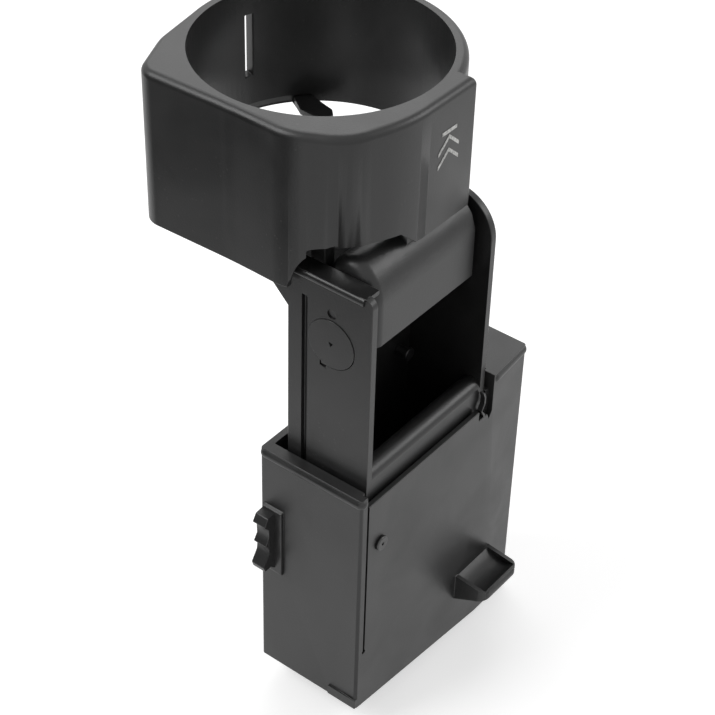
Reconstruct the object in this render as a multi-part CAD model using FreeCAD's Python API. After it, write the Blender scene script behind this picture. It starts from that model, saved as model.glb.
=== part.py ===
import FreeCAD, Part
import math
import os

# Pull-up car cup holder. The housing clips into a console and guides a carriage that slides
# up out of it. The cup ring is hinged between the carriage's two cheeks.
# Millimetres. +Z is up, +X runs along the hinge, and the flat front faces -Y.
# The origin is on the housing's flat back, in the middle of its width, level with the
# underside of its left wall.

# Housing
HOUSING_WIDTH = 86.0
HOUSING_DEPTH = 39.0
HOUSING_HEIGHT = 90.0
BLOCK_WIDTH = 19.5
BLOCK_HEIGHT = 96.0
BOTTOM_SLOPE = 0.12
FRONT_TURN = 1.4
WALL = 2.4
PANEL = 1.8
FLOOR = 2.4
LIP_WIDTH = 3.9
LIP_HEIGHT = 4.0
BEAD = 0.5
BEAD_HEIGHT = 4.2
PANEL_DROP = 4.4
SLIT_WIDTH = 0.9
SLIT_BOTTOM = 24.0
NOTCH_WIDTH = 7.0
NOTCH_DEPTH = 8.0
LEAF_THICK = 0.9
RACK_BEHIND_PANEL = 3.0

# Clip on the left wall and tab at the foot of the front
CLIP_WIDTH = 5.0
CLIP_REACH = 6.5
CLIP_BOTTOM = 42.0
CLIP_HEIGHT = 25.0
CLIP_Y = -1.6
TAB_WIDTH = 19.5
TAB_REACH = 12.0
TAB_LEFT = 9.8
TAB_Z = 19.0

# Carriage
TRAVEL = 52.0
RUN_GAP = 0.45
CHEEK = 2.4
CHEEK_TOP = 159.0
CARRIAGE_BOTTOM = 58.0
CARRIAGE_LEFT = 5.0
CHEEK_FRONT = 2.35
CHEEK_BACK = 6.5
BACK_PLATE = 2.4
BACK_PLATE_TOP = 132.0
ROUND_TOP = 14.0
BAR_RADIUS = 3.6
BAR_TOP = 95.5
CHEEK_SLOT = 2.1
CHEEK_SLOT_DEPTH = 1.5
FLANGE = 6.1
FLANGE_THICK = 1.6
SLOT_TO_BACK = 5.2
SLOT_TOP = 150.5

# Hinge
HINGE_Z = 148.3
HINGE_FROM_FRONT = 16.5
PIN_RADIUS = 1.6
PIN_FIT = 0.05
EAR = 3.0

# Ring
RING_TOP = 204.0
RING_HEIGHT = 42.0
SKIRT_HEIGHT = 51.0
CUP_RADIUS = 38.0
RING_WALL = 3.8
SKIN = 2.4
RING_CENTRE_Y = 13.0
FLAT_FROM_FRONT = 8.0
FLAT_RIGHT = 14.6
SIDE_BULGE = 42.7
SWING_RADIUS = 20.4
ARCH_RADIUS = 19.8
ARCH_Y = -28.8
ARCH_Z = 151.2
ARCH_END = -35.0
COLLAR_START = -17.0
COLLAR_END = -11.0
LEDGE_THICK = 2.2
CUP_RELIEF = 0.6
RIM_ROUND = 2.4
CUP_SLOT = 2.6
CUP_SLOT_HEIGHT = 21.0
CUP_SLOT_DOWN = 29.5
CUP_SLOT_ANGLE = 73
RIB_ANGLES = (155, 180, 205, 225, 245)

# Knuckle, the hollow roll that hangs the ring on its pin
KNUCKLE_LEFT_GAP = 4.4
KNUCKLE_RIGHT_GAP = 2.75
KNUCKLE_FRONT = 10.0
KNUCKLE_BACK = 9.0
KNUCKLE_DROP = 12.7
KNUCKLE_SKIN = 2.2
KNUCKLE_ROUND = 4.0

# Gears and dampers
TOOTH_ADD = 0.8
TOOTH_DED = 1.15
HINGE_MODULE = 1.06
RING_TEETH = 12
DAMPER_TEETH = 8
GEAR_WIDTH = 1.7
DAMPER_RADIUS = 8.3
SLIDE_MODULE = 1.0
SLIDE_TEETH = 12
SLIDE_GEAR_DOWN = 17.0
RACK_WIDTH = 4.0
RACK_BASE = 1.0
BUSH_RADIUS = 4.0

# Small parts
COVER = 1.8
SPRING_Y = -12.0
SPRING_DOWN = 8.0
SPRING_EYE = 5.0
SPRING_WIRE = 0.45
LATCH_Z = 12.0
LATCH_LENGTH = 50.0
TRACK_THICK = 1.8
TRACK_HALF = 9.0
TRACK_RIM = 2.0
TRACK_LOOP = 14.0
GUIDE_PIN = 0.9
GUIDE_PIN_DOWN = 6.0
SHOE_PEG = 1.2
BUFFER = 0.5
SCREW_LENGTH = 7.0
COVER_SCREW_LOW = 8.0
COVER_SCREW_DOWN = 7.0
BACK_PEG_X = 13.0
BACK_PEG_Z = (114.0, 98.0)
DAMPER_CUP = 6.6
DAMPER_BARREL = 4.95
FOOT_LENGTH = 11.0
STOP_SIZE = 6.0
STOP_FROM_FRONT = 5.0

V = FreeCAD.Vector
LEFT = -HOUSING_WIDTH / 2
RIGHT = HOUSING_WIDTH / 2
FRONT = -HOUSING_DEPTH
BLOCK_LEFT = RIGHT - BLOCK_WIDTH
CHAMBER_RIGHT = BLOCK_LEFT - 1.5
CHEEK_L0 = LEFT + CARRIAGE_LEFT
CHEEK_L1 = CHEEK_L0 + CHEEK
CHEEK_R1 = CHAMBER_RIGHT - RUN_GAP
CHEEK_R0 = CHEEK_R1 - CHEEK
CHEEK_Y0 = FRONT + CHEEK_FRONT
CHEEK_Y1 = -CHEEK_BACK
HINGE_Y = FRONT + HINGE_FROM_FRONT
RING_FLAT = FRONT + FLAT_FROM_FRONT
RING_BOTTOM = RING_TOP - RING_HEIGHT
SKIRT_BOTTOM = RING_TOP - SKIRT_HEIGHT
RING_OUTER = CUP_RADIUS + RING_WALL
PANEL_TOP = HOUSING_HEIGHT - PANEL_DROP
NOTCH_BOTTOM = HOUSING_HEIGHT - NOTCH_DEPTH
GUIDE_PIN_Z = HOUSING_HEIGHT - GUIDE_PIN_DOWN
KNUCKLE_LEFT = CHEEK_L1 + KNUCKLE_LEFT_GAP
KNUCKLE_RIGHT = CHEEK_R0 - KNUCKLE_RIGHT_GAP
SLIDE_GEAR_Z = BLOCK_HEIGHT - SLIDE_GEAR_DOWN
SPRING_TOP = BLOCK_HEIGHT - SPRING_DOWN
SCREW_X = BLOCK_LEFT + BLOCK_WIDTH / 2
COVER_SCREWS = [(SCREW_X, COVER_SCREW_LOW), (SCREW_X, BLOCK_HEIGHT - COVER_SCREW_DOWN)]
SPRING_X = BLOCK_LEFT + 13.0
LUG_Z = CARRIAGE_BOTTOM + 3.0
LATCH_X = (CHEEK_L1 + CHEEK_R0) / 2
RIVET_X = LEFT + 9.7
RIVET_Z = 67.0
CHEEK_SLOT_Y = CHEEK_Y1 - SLOT_TO_BACK
SHOE_Z = CARRIAGE_BOTTOM + 5.5
SHOE_Y = FRONT + 15.0
STOP_Y = HINGE_Y + SWING_RADIUS + 0.4
HEART_PEGS = ((-8.0, 95.0), (8.0, 95.0), (-8.0, 115.0), (8.0, 115.0))


def block(x0, x1, y0, y1, z0, z1):
    return Part.makeBox(x1 - x0, y1 - y0, z1 - z0, V(x0, y0, z0))


def rod(radius, start, end):
    start, end = V(*start), V(*end)
    return Part.makeCylinder(radius, (end - start).Length, start, end - start)


def ring_of(outer, inner, start, end):
    return rod(outer, start, end).cut(rod(inner, start, end))


def prism_x(points, x0, x1):
    wire = Part.makePolygon([V(x0, y, z) for y, z in points + points[:1]])
    return Part.Face(wire).extrude(V(x1 - x0, 0, 0))


def prism_y(points, y0, y1):
    wire = Part.makePolygon([V(x, y0, z) for x, z in points + points[:1]])
    return Part.Face(wire).extrude(V(0, y1 - y0, 0))


def prism_z(points, z0, z1):
    wire = Part.makePolygon([V(x, y, z0) for x, y in points + points[:1]])
    return Part.Face(wire).extrude(V(0, 0, z1 - z0))


def edges_of(shape, chosen):
    return [edge for edge in shape.Edges if chosen(edge.BoundBox)]


def rounded_outline(corners, z):
    # A closed wire through the corners (x, y, radius), with an arc tangent at each corner
    edges = []
    ends = []
    for i, (x, y, radius) in enumerate(corners):
        before = V(*corners[i - 1][:2], 0) - V(x, y, 0)
        after = V(*corners[(i + 1) % len(corners)][:2], 0) - V(x, y, 0)
        turn = before.getAngle(after)
        before.normalize()
        after.normalize()
        reach = radius / math.tan(turn / 2)
        middle = before + after
        middle.normalize()
        corner = V(x, y, z)
        start = corner + before * reach
        end = corner + after * reach
        bulge = corner + middle * (radius / math.sin(turn / 2) - radius)
        edges.append(Part.Arc(start, bulge, end).toShape())
        ends.append((start, end))
    joined = []
    for i, edge in enumerate(edges):
        joined.append(edge)
        joined.append(Part.LineSegment(ends[i][1], ends[(i + 1) % len(ends)][0]).toShape())
    return Part.Wire(joined)


def involute(base, radius, at_angle, sign, pitch_angle):
    spread = math.sqrt(max((radius / base) ** 2 - 1, 0))
    turn = spread - math.atan(spread)
    angle = at_angle + sign * (pitch_angle - turn)
    return V(radius * math.cos(angle), radius * math.sin(angle), 0)


def gear_face(teeth, module, thin):
    # Spur gear outline in the XY plane, its first tooth along +X
    pitch = teeth * module / 2
    base = pitch * math.cos(math.radians(20))
    tip = pitch + TOOTH_ADD * module
    root = pitch - TOOTH_DED * module
    spread = math.sqrt((pitch / base) ** 2 - 1)
    half = math.pi / (2 * teeth) - thin / (2 * pitch) + spread - math.atan(spread)
    low = max(base, root)
    radii = [low + (tip - low) * step / 4 for step in range(5)]
    points = []
    for tooth in range(teeth):
        at = 2 * math.pi * tooth / teeth
        rising = [involute(base, radius, at, -1, half) for radius in radii]
        falling = [involute(base, radius, at, 1, half) for radius in radii]
        foot = V(root * math.cos(at - half), root * math.sin(at - half), 0)
        heel = V(root * math.cos(at + half), root * math.sin(at + half), 0)
        points += [foot] + rising + falling[::-1] + [heel]
    return Part.Face(Part.makePolygon(points + points[:1]))


def placed(shape, centre, axis, spin):
    # Turns a shape made about +Z so that its axis lies along the one given, then moves it
    shape = shape.copy()
    shape.rotate(V(0, 0, 0), V(0, 0, 1), spin)
    turn = FreeCAD.Rotation(V(0, 0, 1), V(*axis))
    shape.Placement = FreeCAD.Placement(V(*centre), turn).multiply(shape.Placement)
    return shape


def bottom_wedge(rise):
    # Everything below the housing's sloping underside, raised by the given amount
    low = -BOTTOM_SLOPE * HOUSING_WIDTH
    edge = 2.0
    points = [
        (LEFT - edge, rise + BOTTOM_SLOPE * edge),
        (RIGHT + edge, rise + low - BOTTOM_SLOPE * edge),
        (RIGHT + edge, low - 3 * WALL),
        (LEFT - edge, low - 3 * WALL),
    ]
    return prism_y(points, FRONT - edge, edge)


def outer_box():
    low = -BOTTOM_SLOPE * HOUSING_WIDTH - WALL
    left_plan = [(LEFT, FRONT), (BLOCK_LEFT, FRONT), (BLOCK_LEFT, 0), (LEFT, 0)]
    # The front of the right block turns back a little from the panel's plane
    right_plan = [(BLOCK_LEFT, FRONT), (RIGHT, FRONT + FRONT_TURN), (RIGHT, 0), (BLOCK_LEFT, 0)]
    tall = prism_z(left_plan, low, HOUSING_HEIGHT).fuse(prism_z(right_plan, low, BLOCK_HEIGHT))
    tall = tall.cut(bottom_wedge(0)).removeSplitter()
    upright = edges_of(tall, lambda b: b.ZLength > 80 and abs(b.XMin) > RIGHT - 0.1)
    tall = tall.makeFillet(1.0, upright)
    return tall


def bead_bar(start, end, z_top):
    # Rounded bead that stands a little proud along the housing's top edge
    radius = BEAD_HEIGHT / 2
    bar = rod(radius, (start[0], start[1], z_top - radius), (end[0], end[1], z_top - radius))
    for x, y in (start, end):
        bar = bar.fuse(Part.makeSphere(radius, V(x, y, z_top - radius)))
    return bar


def housing_clip():
    # Snap hook on the left wall: a spine, an upper barb, a small middle tooth and a lower foot
    out = LEFT - CLIP_REACH
    top = CLIP_BOTTOM + CLIP_HEIGHT
    y0, y1 = CLIP_Y - CLIP_WIDTH, CLIP_Y
    spine = prism_y(
        [
            (LEFT + 0.5, top),
            (out + 2.2, top),
            (out + 0.6, top - 2.6),
            (out + 2.6, top - 5.0),
            (out + 2.6, top - 8.5),
            (out + 1.0, top - 11.0),
            (out + 2.6, top - 12.4),
            (out + 2.6, top - 15.5),
            (out, top - 19.5),
            (out + 0.7, top - 21.6),
            (out + 3.4, top - 21.4),
            (LEFT + 0.5, CLIP_BOTTOM),
        ],
        y0,
        y1,
    )
    plate = prism_y(
        [
            (LEFT + 0.5, top + 1.6),
            (LEFT - 1.2, top + 0.8),
            (LEFT - 1.2, CLIP_BOTTOM),
            (LEFT + 0.5, CLIP_BOTTOM - 1),
        ],
        y0 - 2.5,
        y1,
    )
    return spine.fuse(plate)


def housing_tab():
    # Finger shelf low on the front, scooped on top and turned up along its outer edge
    x0, x1 = TAB_LEFT, TAB_LEFT + TAB_WIDTH
    tip = FRONT - TAB_REACH
    profile = [(FRONT + 1.5, TAB_Z - 11.0), (tip, TAB_Z - 5.0), (tip, TAB_Z - 1.5), (FRONT + 1.5, TAB_Z)]
    tab = prism_x(profile, x0, x1)
    corners = edges_of(tab, lambda b: b.ZLength > 3 and b.XLength < 0.01 and b.YMax < tip + 0.1)
    tab = tab.makeFillet(3.0, corners)
    scoop_radius = 9.0
    scoop_y = FRONT - TAB_REACH / 2
    scoop = rod(scoop_radius, (x0 + 1.4, scoop_y, TAB_Z + 6.0), (x1 - 1.4, scoop_y, TAB_Z + 6.0))
    front_wall = block(x0, x1, FRONT, 0, TAB_Z - 12, TAB_Z + 12)
    return tab.cut(scoop.cut(front_wall))


def chamber():
    low = -BOTTOM_SLOPE * HOUSING_WIDTH
    lip_low = HOUSING_HEIGHT - LIP_HEIGHT
    well = block(LEFT + WALL, CHAMBER_RIGHT, FRONT + PANEL, -WALL, low, lip_low)
    mouth = block(LEFT + LIP_WIDTH, CHAMBER_RIGHT, FRONT + PANEL, -WALL, lip_low, HOUSING_HEIGHT + 5)
    return well.fuse(mouth).cut(bottom_wedge(FLOOR))


def panel_cuts():
    # The front panel's free upper end: lowered edge, a slit down its left, a notch on its right
    y0, y1 = FRONT - 1, FRONT + PANEL + 0.2
    slit_x = LEFT + 2.8
    over = block(slit_x, BLOCK_LEFT - NOTCH_WIDTH + 0.1, y0, y1, PANEL_TOP, HOUSING_HEIGHT + 1)
    slit = block(slit_x, slit_x + SLIT_WIDTH, y0, y1, SLIT_BOTTOM, PANEL_TOP + 1)
    slit_end = slit_x + SLIT_WIDTH / 2
    slit = slit.fuse(rod(0.8, (slit_end, y0, SLIT_BOTTOM), (slit_end, y1, SLIT_BOTTOM)))
    notch = prism_y(
        [
            (BLOCK_LEFT - NOTCH_WIDTH, HOUSING_HEIGHT + 1),
            (BLOCK_LEFT - NOTCH_WIDTH, NOTCH_BOTTOM),
            (BLOCK_LEFT - 2.4, NOTCH_BOTTOM),
            (BLOCK_LEFT - 1.2, NOTCH_BOTTOM - 2.6),
            (BLOCK_LEFT, NOTCH_BOTTOM),
            (BLOCK_LEFT, HOUSING_HEIGHT + 1),
        ],
        y0,
        y1,
    )
    return over.fuse([slit, notch])


def detent_leaf():
    # Thin leaf that stands in the notch and bows against the carriage
    x = BLOCK_LEFT - NOTCH_WIDTH + 1.6
    z = NOTCH_BOTTOM
    centre = [(x + 0.9, z - 1), (x + 0.9, z + 0.6), (x - 0.5, z + 2.8)]
    centre += [(x + 0.9, z + 5.2), (x + 0.9, z + 8), (x, z + 10)]
    right = [(px + LEAF_THICK, pz) for px, pz in centre]
    return prism_y(centre + right[::-1], FRONT + 0.1, FRONT + PANEL)


def slide_gear_centre():
    pitch = SLIDE_TEETH * SLIDE_MODULE / 2
    rack_line = CHEEK_R1 + TOOTH_DED * SLIDE_MODULE + 0.3
    return rack_line + pitch, SLIDE_GEAR_Z


def rack_y():
    front = FRONT + PANEL + RACK_BEHIND_PANEL
    return front, front + RACK_WIDTH


def block_hollow():
    # Space inside the right block, open at the back for its cover
    low = -BOTTOM_SLOPE * HOUSING_WIDTH
    front = FRONT + FRONT_TURN + WALL
    space = block(BLOCK_LEFT, RIGHT - WALL, front, 1, low, BLOCK_HEIGHT - WALL)
    return space.cut(bottom_wedge(FLOOR))


def cover_seat(grow):
    x0, x1 = BLOCK_LEFT + 0.8 - grow, RIGHT - 1.2 + grow
    z0, z1 = 2.0 - grow, BLOCK_HEIGHT - 1.4 + grow
    return block(x0, x1, -COVER, 0, z0, z1)


def make_housing():
    body = outer_box()
    top = HOUSING_HEIGHT
    inset = BEAD_HEIGHT / 2 - BEAD
    body = body.fuse(bead_bar((LEFT + inset, FRONT + 1.6), (LEFT + inset, -inset), top))
    corner = (RIGHT - inset + 0.5, FRONT + FRONT_TURN + inset)
    body = body.fuse(bead_bar((BLOCK_LEFT + 2.1, FRONT + inset), corner, BLOCK_HEIGHT))
    body = body.fuse(bead_bar(corner, (RIGHT - inset + 0.5, -inset), BLOCK_HEIGHT))
    body = body.cut(block(LEFT - 3, RIGHT + 3, 0, 5, -20, BLOCK_HEIGHT + 3))
    body = body.cut(block(LEFT - 3, LEFT + 6, FRONT - 3, 3, HOUSING_HEIGHT, HOUSING_HEIGHT + 3))
    body = body.cut(block(BLOCK_LEFT, RIGHT + 3, FRONT - 3, 3, BLOCK_HEIGHT, BLOCK_HEIGHT + 3))
    body = body.cut(chamber())
    body = body.cut(block_hollow())
    body = body.cut(panel_cuts())
    body = body.fuse(detent_leaf())
    body = body.fuse(housing_clip())
    body = body.fuse(housing_tab())
    body = body.cut(block_paths())
    body = body.fuse(damper_cup())
    for x, z in COVER_SCREWS:
        body = body.fuse(block(x - 2.6, RIGHT - WALL + 0.2, -SCREW_LENGTH - 0.5, -COVER, z - 3.2, z + 3.2))
        body = body.cut(rod(1.05, (x, -SCREW_LENGTH - 0.2, z), (x, 0.1, z)))
    body = body.cut(cover_seat(0.0))
    anchor_y = SPRING_Y - 4.2
    anchor_top = BLOCK_HEIGHT - WALL + 0.5
    body = body.fuse(block(SPRING_X - 3, SPRING_X + 3, anchor_y, anchor_y + 2, SPRING_TOP - 3, anchor_top))
    anchor_hole = rod(0.95, (SPRING_X, anchor_y - 0.1, SPRING_TOP), (SPRING_X, anchor_y + 2.1, SPRING_TOP))
    body = body.cut(anchor_hole)
    body = body.fuse(rod(3.0, (LATCH_X, -WALL - 0.7, LATCH_Z), (LATCH_X, -WALL + 0.2, LATCH_Z)))
    body = body.cut(rod(1.0, (LATCH_X, -WALL - 1, LATCH_Z), (LATCH_X, -WALL + 1.2, LATCH_Z)))
    body = body.cut(rod(1.2, (RIVET_X, FRONT - 1, RIVET_Z), (RIVET_X, FRONT + PANEL + 0.1, RIVET_Z)))
    pin_y = CHEEK_SLOT_Y - CHEEK_SLOT / 2
    wall_inside = LEFT + WALL + 0.1
    body = body.cut(rod(GUIDE_PIN, (LEFT + 0.6, pin_y, GUIDE_PIN_Z), (wall_inside, pin_y, GUIDE_PIN_Z)))
    foot = block(LEFT - 0.6, LEFT + 1, FRONT, FRONT + FOOT_LENGTH, 0.4, 4.0)
    body = body.fuse(foot.cut(bottom_wedge(0)))
    return body.removeSplitter()


def block_paths():
    # Openings between the chamber and the block for the rack, the spring's lug and the rack's top
    x0, x1 = CHAMBER_RIGHT - 0.1, BLOCK_LEFT + 0.1
    y0, y1 = rack_y()
    y0 -= 0.6
    y1 += 0.6
    rack_path = block(x0, x1, y0, y1, 4.0, BLOCK_HEIGHT - WALL)
    lug_path = block(x0, x1, SPRING_Y - 1.8, SPRING_Y + 1.8, 4.0, SPRING_TOP - 16)
    mouth = block(x0, x1 + 1.5, y0, y1, BLOCK_HEIGHT - WALL - 1, max(BLOCK_HEIGHT, HOUSING_HEIGHT) + 5)
    return rack_path.fuse([lug_path, mouth])


def damper_cup():
    # Cup that holds the carriage damper's barrel, carried by the block's right wall
    x, z = slide_gear_centre()
    y0 = rack_y()[1] + 1.2
    y1 = y0 + 3.8
    cup = ring_of(DAMPER_CUP, DAMPER_BARREL + 0.1, (x, y0, z), (x, y1, z))
    cup = cup.fuse(block(x + 5.2, RIGHT - WALL + 0.2, y0, y1, z - 2, z + 2))
    return cup.cut(block(x - 8, BLOCK_LEFT + 0.05, y0 - 1, y1 + 1, z - 8, z + 8))


def make_rear_cover():
    cover = cover_seat(-0.15)
    for x, z in COVER_SCREWS:
        cover = cover.cut(rod(1.5, (x, -COVER - 0.1, z), (x, 0.1, z)))
        cover = cover.cut(rod(2.5, (x, -1.0, z), (x, 0.1, z)))
    return cover


def make_cover_screws():
    screws = []
    for x, z in COVER_SCREWS:
        head = rod(2.3, (x, -1.0, z), (x, -0.2, z))
        shank = rod(1.0, (x, -SCREW_LENGTH, z), (x, -1.0, z))
        cross = block(x - 1.3, x + 1.3, -0.6, 0, z - 0.25, z + 0.25)
        cross = cross.fuse(block(x - 0.25, x + 0.25, -0.6, 0, z - 1.3, z + 1.3))
        screws.append(head.fuse(shank).cut(cross))
    return Part.makeCompound(screws)


def make_panel_rivet():
    # Hollow rivet whose head shows low on the left of the front panel
    x, z = RIVET_X, RIVET_Z
    head = rod(2.5, (x, FRONT - 1.1, z), (x, FRONT, z))
    head = head.makeFillet(0.5, edges_of(head, lambda b: b.YMax < FRONT - 1))
    shank = rod(1.2, (x, FRONT, z), (x, FRONT + PANEL, z))
    return head.fuse(shank).cut(rod(0.6, (x, FRONT - 1.2, z), (x, FRONT + 0.4, z)))


def helix_spring(mean, wire, z0, z1, turns):
    helix = Part.makeHelix((z1 - z0) / turns, z1 - z0, mean)
    circle = Part.Wire([Part.makeCircle(wire, V(mean, 0, 0), V(0, 1, 0))])
    coil = Part.Wire(helix.Edges).makePipeShell([circle], True, True)
    coil.translate(V(0, 0, z0))
    return coil


def make_eject_spring():
    # Tension spring that draws the carriage up: a coil with a straight eye at each end
    wire = SPRING_WIRE
    low, high = LUG_Z + SPRING_EYE, SPRING_TOP - SPRING_EYE
    coil = helix_spring(2.4, wire, low, high, 14)
    coil.translate(V(SPRING_X, SPRING_Y, 0))
    eyes = []
    for turn, end in ((low, LUG_Z + 0.75), (high, SPRING_TOP - 1.0)):
        z0, z1 = min(turn, end), max(turn, end)
        eyes.append(rod(wire, (SPRING_X, SPRING_Y, z0), (SPRING_X, SPRING_Y, z1)))
        eyes.append(rod(wire, (SPRING_X - 2.4, SPRING_Y, turn), (SPRING_X + 2.4, SPRING_Y, turn)))
    return coil.fuse(eyes)


def make_spring_anchor():
    shank = rod(0.95, (SPRING_X, SPRING_Y - 4.2, SPRING_TOP), (SPRING_X, SPRING_Y + 1.5, SPRING_TOP))
    head = rod(1.5, (SPRING_X, SPRING_Y - 5.0, SPRING_TOP), (SPRING_X, SPRING_Y - 4.2, SPRING_TOP))
    return shank.fuse(head)


def make_slide_damper():
    x, z = slide_gear_centre()
    y1 = rack_y()[1]
    barrel = rod(DAMPER_BARREL, (x, y1 + 0.8, z), (x, y1 + 7.0, z))
    return barrel.cut(rod(1.3, (x, y1 + 0.7, z), (x, y1 + 4.0, z)))


def make_slide_pinion():
    x, z = slide_gear_centre()
    y0, y1 = rack_y()
    face = gear_face(SLIDE_TEETH, SLIDE_MODULE, 0.16)
    gear = face.extrude(V(0, 0, RACK_WIDTH))
    gear = placed(gear, (x, y1, z), (0, -1, 0), 0)
    # The gear's first tooth is turned onto -X, where it meets a gap in the rack
    shaft = rod(1.25, (x, y0, z), (x, y1 + 3.8, z))
    return gear.fuse(shaft)


def left_cheek():
    # Square-topped cheek with a rolled bead, and a heel at the back that the open ring rests on
    cheek = block(CHEEK_L0, CHEEK_L1, CHEEK_Y0, CHEEK_Y1, CARRIAGE_BOTTOM, CHEEK_TOP)
    front = edges_of(cheek, lambda b: b.ZMin > CHEEK_TOP - 0.1 and b.YMax < CHEEK_Y0 + 0.1)
    cheek = cheek.makeFillet(3.0, front)
    cheek = cheek.cut(swept_corner())
    bead_x = CHEEK_L0 + 0.9
    bead_z = CHEEK_TOP - 1.5
    cheek = cheek.fuse(rod(1.5, (bead_x, CHEEK_Y0 + 3, bead_z), (bead_x, CHEEK_Y1 - 1.5, bead_z)))
    heel_z = SKIRT_BOTTOM - BUFFER
    heel_y = STOP_Y + 1.6
    heel = [(CHEEK_Y1 - 0.1, heel_z - 9), (heel_y, heel_z - 2), (heel_y, heel_z), (CHEEK_Y1 - 0.1, heel_z)]
    cheek = cheek.fuse(prism_x(heel, CHEEK_L0, CHEEK_L1))
    buffer_x = (CHEEK_L0 + CHEEK_L1) / 2
    cheek = cheek.cut(rod(0.5, (buffer_x, STOP_Y, heel_z - 1.5), (buffer_x, STOP_Y, heel_z + 0.1)))
    flange_low = CHEEK_TOP - FLANGE_THICK
    flange = block(CHEEK_L1 - 0.1, CHEEK_L0 + FLANGE, CHEEK_Y0 + 2.4, CHEEK_Y1, flange_low, CHEEK_TOP)
    cheek = cheek.fuse(flange.cut(swept_corner()))
    slot_floor = CHEEK_L0 + CHEEK_SLOT_DEPTH
    slot_front = CHEEK_SLOT_Y - CHEEK_SLOT
    slot = block(CHEEK_L0 - 1, slot_floor, slot_front, CHEEK_SLOT_Y, CARRIAGE_BOTTOM + 8, SLOT_TOP)
    return cheek.cut(slot)


def swept_corner():
    # What has to go from the left cheek's back corner to clear the swinging ring
    x0, x1 = CHEEK_L0 - 3, CHEEK_L1 + 6
    square = block(x0 + 1, x1 - 1, HINGE_Y, CHEEK_Y1 + 5, HINGE_Z + 8, CHEEK_TOP + 5)
    return square.cut(rod(SWING_RADIUS - 0.6, (x0, HINGE_Y, HINGE_Z), (x1, HINGE_Y, HINGE_Z)))


def right_cheek():
    # Round-topped cheek
    centre_y = CHEEK_Y0 + ROUND_TOP
    centre_z = HINGE_Z - 0.5
    cheek = block(CHEEK_R0, CHEEK_R1, CHEEK_Y0, CHEEK_Y1, CARRIAGE_BOTTOM, centre_z)
    cheek = cheek.fuse(rod(ROUND_TOP, (CHEEK_R0, centre_y, centre_z), (CHEEK_R1, centre_y, centre_z)))
    slope = [
        (centre_y, centre_z + ROUND_TOP),
        (centre_y, centre_z - 1),
        (CHEEK_Y1, centre_z - 1),
        (CHEEK_Y1, centre_z + 2),
    ]
    return cheek.fuse(prism_x(slope, CHEEK_R0, CHEEK_R1))


def damper_centre():
    distance = (RING_TEETH + DAMPER_TEETH) * HINGE_MODULE / 2
    return HINGE_Y, HINGE_Z - distance


def make_carriage():
    left, right = CHEEK_L1 - 0.1, CHEEK_R0 + 0.1
    back = block(left, right, CHEEK_Y1 - BACK_PLATE, CHEEK_Y1, CARRIAGE_BOTTOM, BACK_PLATE_TOP)
    bar_y = CHEEK_Y0 + BAR_RADIUS
    bar_z = BAR_TOP - BAR_RADIUS
    front = block(left, right, CHEEK_Y0, CHEEK_Y0 + PANEL, CARRIAGE_BOTTOM, bar_z)
    bar = rod(BAR_RADIUS, (left, bar_y, bar_z), (right, bar_y, bar_z))
    under = block(CHEEK_L1 - 1, CHEEK_R0 + 1, CHEEK_Y0 + PANEL, CHEEK_Y0 + 20, bar_z - 20, bar_z - 1)
    bar = bar.cut(under)
    body = left_cheek().fuse([right_cheek(), back, front, bar])
    y, z = damper_centre()
    x0, x1 = CHEEK_L0, CHEEK_L1
    body = body.cut(rod(DAMPER_RADIUS, (x0 - 2, y, z), (x0 + 1.0, y, z)))
    body = body.cut(rod(DAMPER_RADIUS - 2.2, (x0 - 2, y, z), (x1 + 1, y, z)))
    tongue_z = z - DAMPER_RADIUS
    body = body.cut(block(x0 - 1, x1 + 1, y + 1.9, y + 4.1, tongue_z - 1.2, tongue_z + 1.5))
    body = body.cut(rod(PIN_RADIUS, (x0 - 2, HINGE_Y, HINGE_Z), (x1 + 1, HINGE_Y, HINGE_Z)))
    bush_hole = rod(BUSH_RADIUS, (CHEEK_R0 - 1, HINGE_Y, HINGE_Z), (CHEEK_R1 + 1, HINGE_Y, HINGE_Z))
    body = body.cut(bush_hole)
    rack_low, rack_high = rack_ends()
    y0, y1 = rack_y()
    body = body.cut(block(CHEEK_R1 - RACK_BASE, CHEEK_R1 + 1, y0, y1, rack_low, rack_high))
    lug_end = SPRING_X + 2.5
    body = body.fuse(block(CHEEK_R1 - 0.1, lug_end, SPRING_Y - 1.2, SPRING_Y + 1.2, LUG_Z - 3, LUG_Z + 0.6))
    for dx, dz in HEART_PEGS:
        body = body.cut(rod(1.0, (LATCH_X + dx, CHEEK_Y1 - 1.5, dz), (LATCH_X + dx, CHEEK_Y1 + 1, dz)))
    body = body.cut(rod(SHOE_PEG, (CHEEK_L0 - 1, SHOE_Y, SHOE_Z), (CHEEK_L0 + 1.6, SHOE_Y, SHOE_Z)))
    plate_front = CHEEK_Y1 - BACK_PLATE
    for peg_z in BACK_PEG_Z:
        peg = rod(1.6, (BACK_PEG_X, plate_front + 0.1, peg_z), (BACK_PEG_X, plate_front - 4.0, peg_z))
        tip = rod(2.2, (BACK_PEG_X, plate_front - 5.0, peg_z), (BACK_PEG_X, plate_front - 4.0, peg_z))
        body = body.fuse([peg, tip])
    return body.removeSplitter()


def rack_ends():
    pitch = math.pi * SLIDE_MODULE
    low = SLIDE_GEAR_Z - 3 * pitch
    return low, low + (int((TRAVEL + 14) / pitch) + 1) * pitch


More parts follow.
